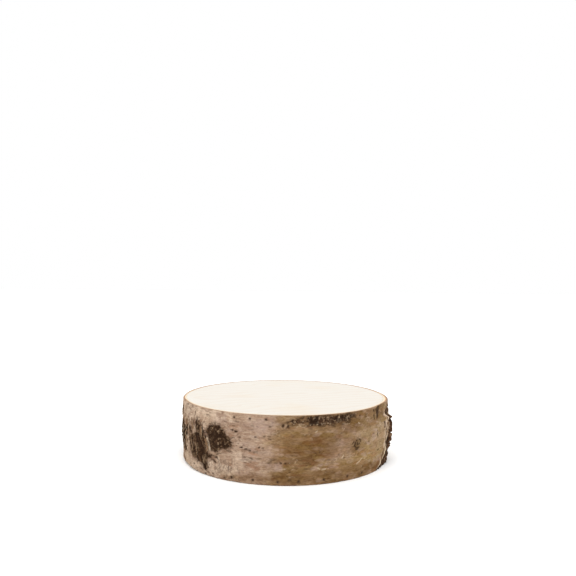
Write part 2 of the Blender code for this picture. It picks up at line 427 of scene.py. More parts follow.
# The knot with its ring of wrinkles, drawn as bent dark lines, and the pale scratches
knot = dict(
    angle=308.5, height=30.4, halfWide=4.4, halfHigh=4.6,
    folds=dict(
        left=[(306.4, 31.6), (307.2, 33.2), (308.3, 32.4), (308.5, 30.2), (307.6, 29)],
        middle=[(309.2, 33.4), (310.4, 34.6), (311.9, 33.8), (312.4, 32)],
        right=[(309.7, 32.4), (309.9, 29.6), (311.1, 30.2), (311, 32)],
        foot=[(308.4, 27.8), (309.8, 26.8), (311, 27.4)],
    ),
)
knotX = degreesFrom(knot["angle"]) * mmPerDegree / knot["halfWide"]
knotY = (height - knot["height"]) / knot["halfHigh"]
knotOut = np.hypot(knotX, knotY) + 0.28 * softNoise(skin, 2.2, 44)
knotFolds = strongest(nearLine(line, 2.0 if name == "foot" else 1.3, 0.3, 46 + n)
                      for n, (name, line) in enumerate(knot["folds"].items()))
knotFolds *= np.clip(1.0 + 0.8 * softNoise(skin, 1.8, 59), 0.3, 1)
knotDark = np.clip(strongest([0.9 * bell(knotX - 0.25, 0.62) * bell(knotY + 0.95, 0.3),
                              0.95 * knotFolds, 0.4 * bell(knotOut, 0.7)]), 0, 1)
relief += 0.5 * bell(knotOut - 0.95, 0.3) - 0.5 * knotFolds - 0.3 * bell(knotOut, 0.4)
relief += 0.10 * np.sin(8 * knotOut) * (1 - softStep(knotOut, 1.2, 3.0)) * softStep(knotOut, 1, 1.2)

shortCracks = dict(
    wide=[(329.8, 58.2), (329.4, 54), (328.8, 49.6)], narrow=[(324.2, 52.6), (325, 49)],
    beside=[(323.4, 57.4), (324.6, 55.6)], joined=[(327.2, 56.8), (328.4, 51.6)],
    farRight=[(337.6, 42), (337.9, 37)], farLow=[(329.2, 34), (329.6, 31)],
    topLeft=[(203.6, 57.8), (205.8, 58.0)],
    ring=[(232.4, 18.2), (234, 18.6), (234.8, 16.6)], ringFoot=[(231.6, 15.2), (233.2, 13.6)],
)
crackWidths = dict(wide=4.0, joined=2.8, ring=1.0, topLeft=1.1, others=1.5)      # mm
crackMask = strongest(nearLine(line, crackWidths.get(name, crackWidths["others"]), 0.5, 50 + n)
                      for n, (name, line) in enumerate(shortCracks.items()))
crackMask *= np.clip(1.15 + 0.7 * softNoise(skin, 2.0, 58), 0, 1)
relief -= 0.7 * crackMask
scratches = dict(
    long=[(309.2, 12.9), (313.6, 16.7)], curved=[(286.4, 14.4), (287.6, 13.2)],
    low=[(288.6, 12.6), (290.6, 13.0)],
    short=[(299.8, 20.6), (300.8, 22.8)], high=[(285.2, 45.2), (286, 46.2)],
    rightHigh=[(310.5, 49.5), (311.4, 48.4)],
    backLong=[(33, 30), (37, 36)], backShort=[(118, 22), (121, 20)],
)
scratchMask = strongest(nearLine(line, 0.7, 0.3, 60 + n)
                        for n, line in enumerate(scratches.values()))
relief -= 0.06 * scratchMask

# The paper ends in a pale torn edge against the thick right plate, with a band of painted shadow just
# inside the plate's edge
tornEdge = crustInside["rightPlate"]
relief += 0.4 * bell(tornEdge + 1.1, 1.1) - 0.7 * bell(tornEdge - 0.5, 0.6)

# Pins that hold the bark: a dish for each near both sawn edges
pins = dict(
    lower=[243.1, 254.6, 266.9, 277, 289.8, 303.3, 313.6],
    upper=[244.3, 252.8, 260.9],
    lowerHeight=3.3, upperHeight=56.0, spacing=11.7,
    unseenFrom=346, unseenTo=556,      # degrees: the rest of the ring, round the back
    headRadius=0.7, domeRise=0.28, standOff=0.05,
    dish=0.45, dishStretch=1.15, dishFlat=0.7, dishEdge=1.8,       # mm, but stretch a share
    colour=(0.06, 0.031, 0.018), roughness=0.8, specular=0.08,
)
pinPick = np.random.default_rng(9)


def pinPlaces(known, level):
    # the ones that show, then the back of the ring at the same spacing
    rest = np.arange(pins["unseenFrom"], pins["unseenTo"], pins["spacing"])
    places = list(known) + list(rest + pinPick.uniform(-1.5, 1.5, len(rest)))
    return [(place % 360, level + pinPick.uniform(-0.5, 0.5)) for place in places]


pinSpots = pinPlaces(pins["lower"], pins["lowerHeight"])
pinSpots += pinPlaces(pins["upper"], pins["upperHeight"])
pinMask = np.zeros(angle.shape)
for pinAngle, pinHeight in pinSpots:
    away = np.hypot(degreesFrom(pinAngle) * mmPerDegree / pins["dishStretch"], height - pinHeight)
    pinMask = np.maximum(pinMask, 1 - softStep(away, pins["dishFlat"], pins["dishEdge"]))
relief -= pins["dish"] * pinMask

radius = sleeve["skinRadius"] + waves + standOff + relief
radius = np.clip(radius, sleeve["innerRadius"] + 0.7, None)
print("bark relief made")


lipLines = dict(      # round the lip beside the branch scar, angle and height
    # the right and left lines carry painted shadow down the lip's sides; the foot line carries rust
    right=[(227.9, 34), (229.3, 29), (230, 23.4)],
    left=[(225.4, 34.5), (226, 30), (227, 25)],
    foot=[(230, 21), (227.8, 19.8), (226, 21.6)],
)

# Tints of the bark: share, softness and raggedness in mm, outline of (angle, height)
tints = dict(
    warm=[(0.6, 4, 3, [(180, 62), (203, 62), (206, 38), (203, 8), (180, 8)])],
    sand=[(1, 5, 3, [(312, 52), (340, 58), (342, 8), (328, 8), (314, 16), (309, 30)])],
    lip=[(1, 0.5, 0.3, [(226, 34.4), (227.4, 33.4), (228.4, 29.6), (229.2, 25.6),
                        (229.6, 22.6), (228.4, 23), (227.3, 27), (226.4, 30.6)])],
    cores=[     # the darkest places in the crust
        # the first, under the curls at the left edge, is their painted shadow as well as dark crust
        (1, 1.5, 2.5, [(188, 39), (198, 37), (204, 37), (202, 31), (199, 21), (189, 20)]),
        (0.8, 1.5, 2.5, [(200.5, 17.5), (203, 17), (204, 14), (201, 13)]),
        (0.9, 1.5, 2.5, [(216.6, 47.6), (220.8, 48), (221.2, 42), (219.4, 36.6), (216.8, 41)]),
        (0.4, 1.5, 2.5, [(211, 31), (218, 33), (225, 30), (226, 22), (222, 15), (214, 14),
                         (211, 20)]),
        (0.4, 1.5, 2.5, [(226, 21.4), (229.4, 20.8), (227.8, 16), (227.2, 6), (224.6, 5),
                         (224, 12), (222, 18)]),
        (1, 1.5, 2.5, [(281, 58), (288, 59), (288, 50.5), (284.5, 51.5), (282, 52)]),
        (0.95, 1.5, 2.5, [(293, 58.6), (307, 58.4), (305, 54), (299, 53.5), (293, 53)]),
        (0.75, 1.5, 2.5, [(228.2, 43.6), (235.4, 46), (238, 40), (238.8, 33), (236.6, 29),
                          (231.5, 25), (230, 30), (227.6, 37)]),
    ],
    deep=[
        (1, 9, 3, [(264, 47), (290, 44), (298, 34), (296, 20), (262, 16), (268, 30)]),
        (0.8, 5, 3, [(276, 60), (338, 60), (338, 47), (322, 43), (300, 40), (290, 46), (276, 50)]),
        (0.6, 4, 3, [(300, 38), (315, 38), (316, 24), (300, 24)]),
        (0.9, 5, 3, [(238, 0), (236, 5), (262, 11), (300, 15), (330, 8), (340, 0)]),
    ],
    mottled=[(1, 4, 3, [(186, 61), (228, 61), (236, 52), (224, 51), (212, 46), (188, 44)])],
    flecked=[(0.8, 2, 3, [(208, 61), (214, 52), (232, 51), (243, 52), (243, 58), (228, 61)])],
    bright=[
        (0.7, 4, 3, [(188, 14), (206, 13), (220, 10), (240, 16), (246, 5), (226, 0), (188, 0)]),
        (0.5, 2, 1.5, [(243, 28), (249, 27), (250, 10), (244, 9)]),
    ],
    lilac=[
        (1, 1.8, 1, [(261, 19), (269, 19.4), (269, 12.4), (261.5, 12)]),
        (0.7, 4, 3, [(252, 58), (264, 57), (266, 46), (258, 44), (250, 50)]),
        (0.7, 3, 3, [(264, 34), (266, 24), (262, 20), (258, 27)]),
        (0.7, 3, 3, [(296, 47), (304, 43), (318, 30), (312, 38), (303, 49)]),
        (0.5, 5, 3, [(290, 38), (305, 37), (307, 20), (293, 17)]),
        (0.8, 3, 3, [(208, 55), (224, 57), (240, 56), (240, 51), (226, 52)]),
        (0.6, 3, 3, [(197, 58), (208, 58), (210, 47), (198, 48)]),
    ],
    rust=[
        (0.6, 2.2, 2, [(278, 41), (290, 40), (291, 35), (279, 35)]),
        (0.5, 3, 3, [(180, 62), (199, 62), (200, 48), (196, 38), (180, 38)]),
        (0.6, 2.5, 3, [(186, 20), (202, 19), (204, 5), (190, 5)]),
        (0.7, 2.5, 3, [(182, 44), (203, 42), (206, 18), (184, 14)]),
        (0.4, 2.5, 3, [(262, 31), (280, 32), (280, 26), (262, 27)]),
    ],
    olive=[
        (1, 1.6, 1, [(266, 46), (273, 46), (273, 41), (266, 42)]),
        (0.8, 2, 3, [(272, 38), (282, 38), (282, 31), (272, 31)]),
        (0.7, 6, 3, [(294, 30), (318, 28), (326, 14), (306, 8), (292, 14)]),
    ],
)


def tinted(name):
    return strongest(share * zone(outline, soft, ragged)
                     for share, soft, ragged, outline in tints[name])


unseen = (np.abs(degreesFrom(90)) < 105) * 1.0      # the side away from the camera


def seededPatches(share, size, shift, low, high):
    return share * softStep(softNoise(skin, size, shift), low, high) * unseen


ochreLine = 263 + 6 * softNoise(skin, (18, 18, 9), 71) - 6 * softStep(12 - height, 0, 10)
warm = softStep(angle, ochreLine - 7, ochreLine + 7) * (1 - softStep(angle, 350, 358))
warm = strongest([warm, tinted("warm"), seededPatches(1, (60, 60, 50), 72, 0.05, 0.3)])
warm = np.clip(warm + 0.2 * layeredNoise(skin, (12, 12, 4), 3, 73)
               + 0.3 * (patchTone - 0.5) * papery, 0, 1)
sand = strongest([tinted("sand"), seededPatches(0.7, (40, 40, 30), 74, 0.15, 0.4)])
lip = tinted("lip")
coreMask = tinted("cores") * softStep(softNoise(skin, (2.2, 2.2, 4), 84), -0.3, 0.15)
tornPaper = bell(tornEdge + 2.0, 1.9) * (height < 50) * softStep(height, 4, 24)
tornPaper *= degreesFrom(340) < 8
deep = strongest([tinted("deep"), seededPatches(0.8, (30, 30, 14), 75, 0.1, 0.45)])
deep = np.clip(deep + 0.3 * layeredNoise(skin, (11, 11, 3.2), 3, 76), 0, 1)
bright = strongest([
    tinted("bright"), 0.6 * lip, 0.9 * tornPaper,
    tinted("mottled") * (0.45 + 0.55 * (smallTone > 0.45)),
    tinted("flecked") * (smallTone > 0.5),
    0.75 * worn * (shredTone > 0.55) * shredIn,
    seededPatches(0.7, (24, 24, 12), 79, 0.2, 0.5)])
bright = np.clip(bright + 0.25 * layeredNoise(skin, (9, 9, 3), 3, 80), 0, 1)
lilac = strongest([
    tinted("lilac"), seededPatches(0.8, (20, 20, 9), 77, 0.25, 0.5),
    0.55 * papery * (patchTone > 0.72) * patchIn * (degreesFrom(275) > -35)])
rust = strongest([
    tinted("rust"), 0.5 * softStep(softNoise(skin, (16, 16, 4), 78), 0.3, 0.5),
    0.35 * papery * (patchTone < 0.14) * patchIn,
    0.8 * bell(tornEdge + 3.4, 1.6) * (height < 12) * (degreesFrom(340) < 8),
    0.8 * nearLine(lipLines["foot"], 1.4)])
olive = strongest([
    tinted("olive"), 0.5 * papery * (np.abs(patchTone - 0.4) < 0.1) * patchIn * warm])

slopeUp = np.gradient(radius, axis=0) / (sliceTop / (sleeve["levels"] - 1))
slopeRound = np.gradient(radius, axis=1) / (mmPerDegree * 360 / sleeve["around"])
steep = softStep(np.hypot(slopeUp, slopeRound), 0.9, 2.0)
# the mean radius round each point: where the bark lies lower than this, it gets painted shade
roundMean = sum(np.roll(radius, step, 1) for step in (-5, -3, 3, 5)) / 4

# Colour masks that the bark's material reads, all 0 to 1
masks = dict(
    warm=warm, deep=deep, bright=bright, lilac=lilac, rust=rust, olive=olive, sand=sand,
    tone=np.clip(0.5 + 0.40 * (patchTone - 0.5) + 0.42 * (smallTone - 0.5)
                 + 0.7 * worn * (shredTone - 0.5)
                 + 0.32 * layeredNoise(skin, (6, 6, 2), 3, 37), 0, 1),
    stained=np.clip(0.8 * stained - anyCrust + 0.35 * worn * (shredTone < 0.25)
                    - lip - tornPaper, 0, 1),
    crusty=np.clip(anyCrust, 0, 1),
    grit=np.clip(sum(overCrusts("grit")), 0, 1),
    # the bark's dark marks, cracks, pin dishes, knot and crust cores, together with painted shade in
    # the crust's gaps, between worn shreds, under the paper steps, beside the lip, along the plate's
    # torn edge and where the bark lies lower than round it
    darkMarksAndShade=np.clip(strongest(overCrusts("gapShade") + [
        crackMask, markMask, pinMask * 0.55, knotDark, 0.30 * papery * stepShade,
        coreMask * np.maximum(anyCrust, 0.5),
        # painted shade in the grooves between the worn shreds
        0.5 * worn * (1 - shredIn) * softStep(softNoise(skin, (3, 3, 6), 83), -0.05, 0.3),
        # painted shadow down both sides of the lip
        0.9 * nearLine(lipLines["right"], 1.9), 0.9 * nearLine(lipLines["left"], 1.9),
        # painted shadow in the groove along the plate's torn edge
        0.7 * bell(tornEdge - 0.3, 0.7)])
        # painted shade wherever the bark lies lower than round it
        + 0.9 * softStep(roundMean - radius, 0.35, 1.1), 0, 1),
    peeled=papery * softStep(sheetField, sheetEnds[1] - 0.02, sheetEnds[1] + 0.02),
    pale=np.clip(strongest([
        0.5 * scratchMask, 0.3 * lip, 0.2 * papery * stepLips,
        0.45 * bell(tornEdge + 1.1, 0.9) * tornPaper,
        0.08 * bandMask * softStep(grainTone, 0.78, 0.9) * grainIn]), 0, 1),
    broken=np.clip(0.7 * steep * plateMask
                   + crustKinds["scaly"]["where"] * (0.25 + 0.5 * (scaleTone > 0.55)), 0, 1),
    sawn=np.zeros(angle.shape),      # only on the sawn edges, set below
)


def keepInBox(spots):
    # no point stands outside the CAD box
    low = np.array(cadLow) / mm + 0.02
    high = np.array(cadHigh) / mm - 0.02
    return np.clip(spots, low, high)


def makePiece(name, spots, faces, masksByPoint, material):
    # a mesh from points in mm, with its masks as attributes
    mesh = bpy.data.meshes.new(name)
    mesh.from_pydata((keepInBox(spots) * mm).tolist(), [], faces)
    for maskName, values in masksByPoint.items():
        layer = mesh.attributes.new(maskName, "FLOAT", "POINT")
        layer.data.foreach_set("value", np.asarray(values, np.float32).ravel())
    mesh.polygons.foreach_set("use_smooth", [True] * len(mesh.polygons))
    mesh.update()
    mesh.validate()
    mesh.materials.append(material)
    piece = bpy.data.objects.new(name, mesh)
    bpy.context.scene.collection.objects.link(piece)
    return piece


def gridFaces(rows, columns, closedUp, closedRound):
    # quads over a grid of points, facing out where columns run anticlockwise and rows up
    row, column = np.meshgrid(np.arange(rows if closedUp else rows - 1),
                              np.arange(columns if closedRound else columns - 1), indexing="ij")
    below, beside = row * columns, (column + 1) % columns
    above = (row + 1) % rows * columns
    quads = np.stack([below + column, below + beside, above + beside, above + column], -1)
    return quads.reshape(-1, 4).tolist()


# Materials

def startMaterial(name, roughness, specular):
    material = bpy.data.materials.new(name)
    material.use_nodes = True
    tree = material.node_tree
    shader = tree.nodes["Principled BSDF"]
    shader.inputs["Roughness"].default_value = roughness
    shader.inputs["Specular IOR Level"].default_value = specular
    return material, tree, shader


def feed(tree, socket, value):
    # join a socket to another, or set it
    if isinstance(value, bpy.types.NodeSocket):
        tree.links.new(value, socket)
    else:
        socket.default_value = value


def maths(tree, operation, first, second=0.0, clamp=False):
    node = tree.nodes.new("ShaderNodeMath")
    node.operation = operation
    node.use_clamp = clamp
    feed(tree, node.inputs[0], first)
    feed(tree, node.inputs[1], second)
    return node.outputs[0]


def blendColour(tree, share, first, second, how="MIX"):
    node = tree.nodes.new("ShaderNodeMix")
    node.data_type = "RGBA"
    node.blend_type = how
    feed(tree, node.inputs["Factor"], share)
    feed(tree, node.inputs["A"], first if not isinstance(first, tuple) else (*first, 1))
    feed(tree, node.inputs["B"], second if not isinstance(second, tuple) else (*second, 1))
    return node.outputs["Result"]


def colourRamp(tree, share, *stops):
    node = tree.nodes.new("ShaderNodeValToRGB")
    feed(tree, node.inputs["Fac"], share)
    bar = node.color_ramp.elements
    while len(bar) < len(stops):
        bar.new(0.5)
    for stop, (place, colour) in zip(bar, stops):
        stop.position = place
        stop.color = (*colour, 1)
    return node.outputs["Color"]


def grainNoise(tree, stretch, size, detail=3.0, roughness=0.55, warp=0.0):
    # noise in the object's own space: size in mm, stretched by axis
    spot = tree.nodes.new("ShaderNodeTexCoord").outputs["Object"]
    mapping = tree.nodes.new("ShaderNodeMapping")
    mapping.inputs["Scale"].default_value = [1 / (size * mm * side) for side in stretch]
    tree.links.new(spot, mapping.inputs["Vector"])
    node = tree.nodes.new("ShaderNodeTexNoise")
    node.inputs["Scale"].default_value = 1.0
    node.inputs["Detail"].default_value = detail
    node.inputs["Roughness"].default_value = roughness
    node.inputs["Distortion"].default_value = warp
    tree.links.new(mapping.outputs["Vector"], node.inputs["Vector"])
    return node.outputs["Fac"]


def stretchShare(tree, share, low, high):
    node = tree.nodes.new("ShaderNodeMapRange")
    node.inputs["From Min"].default_value = low
    node.inputs["From Max"].default_value = high
    tree.links.new(share, node.inputs["Value"])
    return node.outputs["Result"]


def mask(tree, name):
    node = tree.nodes.new("ShaderNodeAttribute")
    node.attribute_name = name
    return node.outputs["Fac"]


def maskTimes(tree, name, share):
    return maths(tree, "MULTIPLY", mask(tree, name), share)


def addBump(tree, shader, share, depth, strength=1.0):
    node = tree.nodes.new("ShaderNodeBump")
    node.inputs["Strength"].default_value = strength
    node.inputs["Distance"].default_value = depth * mm
    tree.links.new(share, node.inputs["Height"])
    tree.links.new(node.outputs["Normal"], shader.inputs["Normal"])


barkLook = dict(
    greyDark=(0.24, 0.15, 0.10), greyMid=(0.33, 0.222, 0.156), greyLight=(0.45, 0.335, 0.25),
    warmDark=(0.145, 0.078, 0.030), warmMid=(0.218, 0.130, 0.058), warmLight=(0.30, 0.20, 0.105),
    brightPaper=(0.56, 0.43, 0.32), brightShare=0.8,
    sand=(0.31, 0.216, 0.118), olive=(0.27, 0.17, 0.055), rust=(0.27, 0.115, 0.05),
    lilac=(0.37, 0.262, 0.208), tintShares=dict(sand=0.75, olive=0.75, rust=0.6, lilac=0.9),
    deepTint=(0.62, 0.54, 0.43), peeled=(0.46, 0.32, 0.21), peeledShare=0.22,
    fineDark=(0.63, 0.59, 0.55), fineLight=(1.28, 1.27, 1.25),
    stain=(0.14, 0.078, 0.042), stainShare=0.75,
    crustDark=(0.026, 0.013, 0.007), crustMid=(0.092, 0.047, 0.023),
    crustLight=(0.30, 0.205, 0.125),
    brokenDark=(0.07, 0.028, 0.014), brokenLight=(0.24, 0.095, 0.045), brokenShare=0.75,
    # dark brown of the dark marks and of the painted shade in gaps and hollows
    darkMarksAndShade=(0.029, 0.014, 0.007), paleEdge=(0.74, 0.60, 0.43),
    sawnShade=(0.27, 0.21, 0.17), sawnEdge=(0.34, 0.165, 0.075),
    sawnMiddle=(0.58, 0.40, 0.25), sawnInner=(0.68, 0.60, 0.47),
    roughness=0.85, specular=0.05, bumpDepth=0.3,      # bump in mm
)


def makeBarkMaterial(look):
    material, tree, shader = startMaterial("birch bark", look["roughness"], look["specular"])
    # the paper: two families of tan, streaked, with its tints laid over
    streak = maths(tree, "MULTIPLY", grainNoise(tree, (5, 5, 1.7), 1.3, 4, 0.6, 0.3), 0.9)
    streak = stretchShare(tree, maths(tree, "ADD", streak, mask(tree, "tone")), 0.55, 1.35)
    fine = grainNoise(tree, (3.2, 3.2, 0.9), 0.9, 4, 0.65)
    blotch = stretchShare(tree, grainNoise(tree, (1.6, 1.6, 0.9), 5, 4, 0.6, 0.6), 0.36, 0.64)
    grey = colourRamp(tree, streak, (0.0, look["greyDark"]), (0.5, look["greyMid"]),
                      (1.0, look["greyLight"]))
    warmBark = colourRamp(tree, streak, (0.0, look["warmDark"]), (0.5, look["warmMid"]),
                          (1.0, look["warmLight"]))
    paper = blendColour(tree, mask(tree, "warm"), grey, warmBark)
    for tint, share in look["tintShares"].items():
        patchShare = maths(tree, "MULTIPLY", maskTimes(tree, tint, share),
                           maths(tree, "ADD", blotch, 0.35), True)
        paper = blendColour(tree, patchShare, paper, look[tint])
    paper = blendColour(tree, maskTimes(tree, "bright", look["brightShare"]), paper,
                        look["brightPaper"])
    paper = blendColour(tree, maskTimes(tree, "peeled", look["peeledShare"]), paper, look["peeled"])
    paper = blendColour(tree, mask(tree, "deep"), paper, look["deepTint"], "MULTIPLY")
    shade = colourRamp(tree, fine, (0.28, look["fineDark"]), (0.5, (1, 1, 1)),
                       (0.72, look["fineLight"]))
    paper = blendColour(tree, 1.0, paper, shade, "MULTIPLY")
    stain = maskTimes(tree, "stained", maths(tree, "ADD", blotch, 0.2))
    paper = blendColour(tree, maths(tree, "MULTIPLY", stain, look["stainShare"], True), paper,
                        look["stain"])
    # the crust, its broken faces, then the dark marks and the painted shade in gaps and hollows
    speck = stretchShare(tree, grainNoise(tree, (1, 1, 0.8), 1.3, 3, 0.7), 0.25, 0.75)
    gritShare = maths(tree, "ADD", maskTimes(tree, "grit", 0.65),
                      maths(tree, "MULTIPLY", speck, 0.40))
    crustColour = colourRamp(tree, gritShare, (0.30, look["crustDark"]), (0.52, look["crustMid"]),
                             (0.85, look["crustLight"]))
    colour = blendColour(tree, mask(tree, "crusty"), paper, crustColour)
    broken = blendColour(tree, speck, look["brokenDark"], look["brokenLight"])
    colour = blendColour(tree, maskTimes(tree, "broken", look["brokenShare"]), colour, broken)
    # dark marks, and painted shade in gaps and hollows
    colour = blendColour(tree, mask(tree, "darkMarksAndShade"), colour, look["darkMarksAndShade"])
    colour = blendColour(tree, mask(tree, "pale"), colour, look["paleEdge"])
    # the sawn edge, from its outside to its inside
    sawn = colourRamp(tree, mask(tree, "sawn"), (0.12, look["sawnShade"]), (0.26, look["sawnEdge"]),
                      (0.42, look["sawnMiddle"]), (0.6, look["sawnInner"]))
    sawnHere = stretchShare(tree, mask(tree, "sawn"), 0.0, 0.12)
    colour = blendColour(tree, sawnHere, colour, sawn)
    tree.links.new(colour, shader.inputs["Base Color"])
    bumpShare = maths(tree, "ADD", maths(tree, "MULTIPLY", fine, 0.5),
                      maths(tree, "MULTIPLY", speck, mask(tree, "crusty")))
    addBump(tree, shader, bumpShare, look["bumpDepth"])
    return material


barkMaterial = makeBarkMaterial(barkLook)

sawnEdges = dict(
    crumble=0.35, drop=0.12, levelBack=0.9,     # mm worn off the upper edge, less of it behind
    footRise=2.4, footAt=202, footWide=18,      # the flap torn off the foot: mm, degrees
    footWear=0.4, footHeight=6,                 # mm
    brown=0.85, brownTurn=0.2, brownBack=0.3,   # less makes more of the edge brown
)

# The sleeve: outer wall, sawn top edge, inner wall, sawn lower edge, closed on itself
edgeShare = (np.arange(1, sleeve["edgeRows"] + 1) / sleeve["edgeRows"])[:, None]
topInset = radius[-1] + (sleeve["innerRadius"] - radius[-1]) * edgeShare
lowInset = radius[0] + (sleeve["innerRadius"] - radius[0]) * edgeShare[::-1]
allRadius = np.vstack([radius, topInset, lowInset])
allHeight = np.vstack([height, np.full(topInset.shape, sliceTop), np.zeros(lowInset.shape)])
allTurn = np.broadcast_to(turn[0], allRadius.shape)
crumble = sawnEdges["crumble"] * softStep(softNoise(skin[-1], (5, 5, 5), 81), 0.15, 0.5)
backShare = softStep(np.sin(turn[0]), -0.05, 0.35)
topRow = sleeve["levels"] - 1
allHeight[topRow] -= (crumble + sawnEdges["drop"]) * (1 - sawnEdges["levelBack"] * backShare)
allHeight[topRow - 1] -= 0.6 * crumble
footRise = sawnEdges["footRise"] * bell(degreesFrom(sawnEdges["footAt"])[0], sawnEdges["footWide"])
footRise += sawnEdges["footWear"] * softStep(softNoise(skin[0], 6, 82), 0.1, 0.5)
wall = allHeight[:sleeve["levels"]]
wall += (wall < sawnEdges["footHeight"]) * footRise * (1 - wall / sawnEdges["footHeight"])
allHeight[-sleeve["edgeRows"]:] += footRise
sleeveSpots = np.stack([allRadius * np.cos(allTurn), allRadius * np.sin(allTurn), allHeight], -1)
sawnShare = (sawnEdges["brown"] - sawnEdges["brownTurn"] * np.sin(turn[0])
             - sawnEdges["brownBack"] * backShare)
onEdges = dict(sawn=np.vstack([edgeShare, edgeShare[::-1]]) * sawnShare)
noEdges = np.zeros((2 * sleeve["edgeRows"], sleeve["around"]))
sleeveMasks = {name: np.vstack([values, onEdges.get(name, noEdges)])
               for name, values in masks.items()}
bark = makePiece("barkSleeve", sleeveSpots.reshape(-1, 3),
                 gridFaces(len(allRadius), sleeve["around"], True, True), sleeveMasks,
                 barkMaterial)
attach(bark, "root")
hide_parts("bark")
print("bark sleeve", len(bark.data.polygons), "faces")


# Thin curls and flakes of bark, each a bent sheet rooted in the sleeve
curls = dict(
    # angle and height of its middle, height of the sheet, reach, bend in degrees,
    # side it opens to, lean in degrees, tone
    placed=[
        (225.4, 27.8, 14.5, 5.4, 24, 1, -1.0, "paper"),
        (190.5, 27, 25, 3.8, 28, 1, 1.0, "paper"), (196.0, 25, 24, 4.6, 24, 1, -2.0, "pale"),
        (203.0, 27, 23, 4.4, 24, 1, -2.0, "pale"), (207.0, 37, 15, 3.4, 24, 1, -1.5, "paper"),
        (188.5, 47, 16, 3.0, 30, 1, 0.5, "paper"), (193, 49, 13, 2.6, 30, 1, -0.5, "paper"),
        (212, 42, 13, 5.0, 20, 1, -1.5, "paper"), (221.4, 40, 12, 4.6, 22, 1, -1.0, "paper"),
        (211.5, 24, 12, 3.6, 24, 1, -2.0, "paper"), (217.5, 21, 12, 3.8, 24, 1, -1.0, "paper"),
        (198.6, 5.4, 8.0, 3.6, 35, 1, -2.0, "rust"),
        (338.8, 35, 25, 5.4, 30, 1, 0.3, "paper"), (336.6, 14, 15, 5.0, 30, 1, 2.8, "pale"),
        (329.4, 5.4, 8, 4.4, 28, 1, 3.2, "pale"),
        (348.8, 36, 24, 5.6, 105, 1, 0.5, "pale"), (352.6, 30, 26, 4.0, 60, 1, 0.0, "rust"),
        (82.5, 34, 30, 6.4, 100, 1, 0.5, "pale"), (87.8, 31, 26, 5.6, 120, 1, -0.8, "paper"),
        (93.4, 34, 24, 5.8, 150, 1, 0.6, "dark"), (96.0, 43, 13, 5.0, 110, 1, -0.6, "dark"),
        (98.6, 30, 18, 4.4, 70, -1, 0.0, "paper"), (69.5, 33, 20, 4.0, 80, -1, 1.0, "pale"),
    ],
    seeded=[(141, 182, 16), (354, 371, 5), (60, 84, 7)],   # from angle, to angle, how many
    rows=20, columns=9, thickness=0.3,
    tones=("paper", "rust", "dark", "pale"), toneShares=(0.35, 0.25, 0.3, 0.1),
    paper=dict(warm=0.65, rust=0.0, crusty=0.0, dark=0.0),
    rust=dict(warm=0.8, rust=0.9, crusty=0.0, dark=0.0),
    dark=dict(warm=0.8, rust=0.35, crusty=0.85, dark=0.35),
    pale=dict(warm=0.8, rust=0.0, crusty=0.0, dark=0.0),
)
curlPick = np.random.default_rng(23)
crestRadius = strongest(np.roll(radius, step, 1) for step in range(-6, 7, 2))
crestRadius = 0.35 * radius + 0.65 * crestRadius


def curlSheet(middleAngle, middleHeight, tall, reach, bend, side, leaning, tone, seed):
    # points, faces and masks of one sheet, wider in its middle, with a torn free edge
    rows, columns = curls["rows"], curls["columns"]
    up = np.linspace(-1, 1, rows)
    level = np.clip(middleHeight + up * tall / 2, 0.5, sliceTop - 0.5)
    root = np.radians(middleAngle + leaning * up)
    torn = softNoise(np.stack([up * tall, up * 0 + seed, up * 0], -1), 3.5, 2)
    fine = softNoise(np.stack([up * tall, up * 0 + seed, up * 0 + 9], -1), 1.4, 3)
    width = reach * (np.sqrt(np.clip(1.02 - up ** 2, 0, 1)) + 0.30 * torn + 0.12 * fine)
    width = np.clip(width, 0.35, None)
    share = np.linspace(0, 1, columns)
    turned = math.radians(bend) * share * (0.75 + 0.25 * np.cos(up * 2)[:, None])
    arc = width[:, None] / math.radians(bend)
    aside = arc * np.sin(turned)
    out = arc * (1 - np.cos(turned)) - 0.25
    column = np.round(np.degrees(root) / 360 * sleeve["around"]).astype(int) % sleeve["around"]
    row = np.clip(np.round(level / sliceTop * (sleeve["levels"] - 1)).astype(int), 0,
                  sleeve["levels"] - 1)
    base = crestRadius[row, column][:, None]
    around, outward = np.cos(turned), np.sin(turned)
    half = curls["thickness"] / 2 * (1 - 0.6 * share)
    points = []
    for way in (1, -1):      # outer side, then inner
        sheetOut = base + out + way * half * around
        sheetAside = aside - way * half * outward
        # the sheet follows the round of the bark as it goes aside
        spotTurn = root[:, None] + side * sheetAside / base
        points.append(np.stack([sheetOut * np.cos(spotTurn), sheetOut * np.sin(spotTurn),
                                np.broadcast_to(level[:, None], sheetOut.shape)], -1))
    spots = np.concatenate([points[0], points[1][:, ::-1]], axis=1)
    if side < 0:
        spots = spots[:, ::-1]
    wide = 2 * columns
    faces = gridFaces(rows, wide, False, True)
    for step in range(columns - 1):
        far = wide - 1 - step
        faces.append([step, far, far - 1, step + 1])
        top = (rows - 1) * wide
        faces.append([top + step, top + step + 1, top + far - 1, top + far])
    within = np.zeros((rows, wide))
    within[:, columns:] = 1
    if side < 0:
        within = within[:, ::-1]
    free = np.concatenate([share, share[::-1]])
    free = np.broadcast_to(free if side > 0 else free[::-1], within.shape)
    look = curls[tone]
    values = dict(
        warm=np.full(within.shape, look["warm"]),
        # pale free edge: the pale curls' own colour; on paper curls a pale torn edge that is also a
        # painted highlight
        pale=(0.80 * softStep(free, 0.55, 0.95) + 0.2 * within) * (tone == "pale")
        + 0.35 * softStep(free, 0.8, 1.0) * (tone == "paper"),
        peeled=within,
        deep=0.5 * within,
        rust=look["rust"] + 0.2 * within,
        crusty=np.full(within.shape, look["crusty"]),
        grit=np.full(within.shape, 0.45),
        # painted shade on the inner side toward the root, and the dark tone of dark curls
        darkMarksAndShade=0.55 * within * softStep(0.6 - free, 0, 0.6) + look["dark"],
    )
    return spots.reshape(-1, 3), faces, values


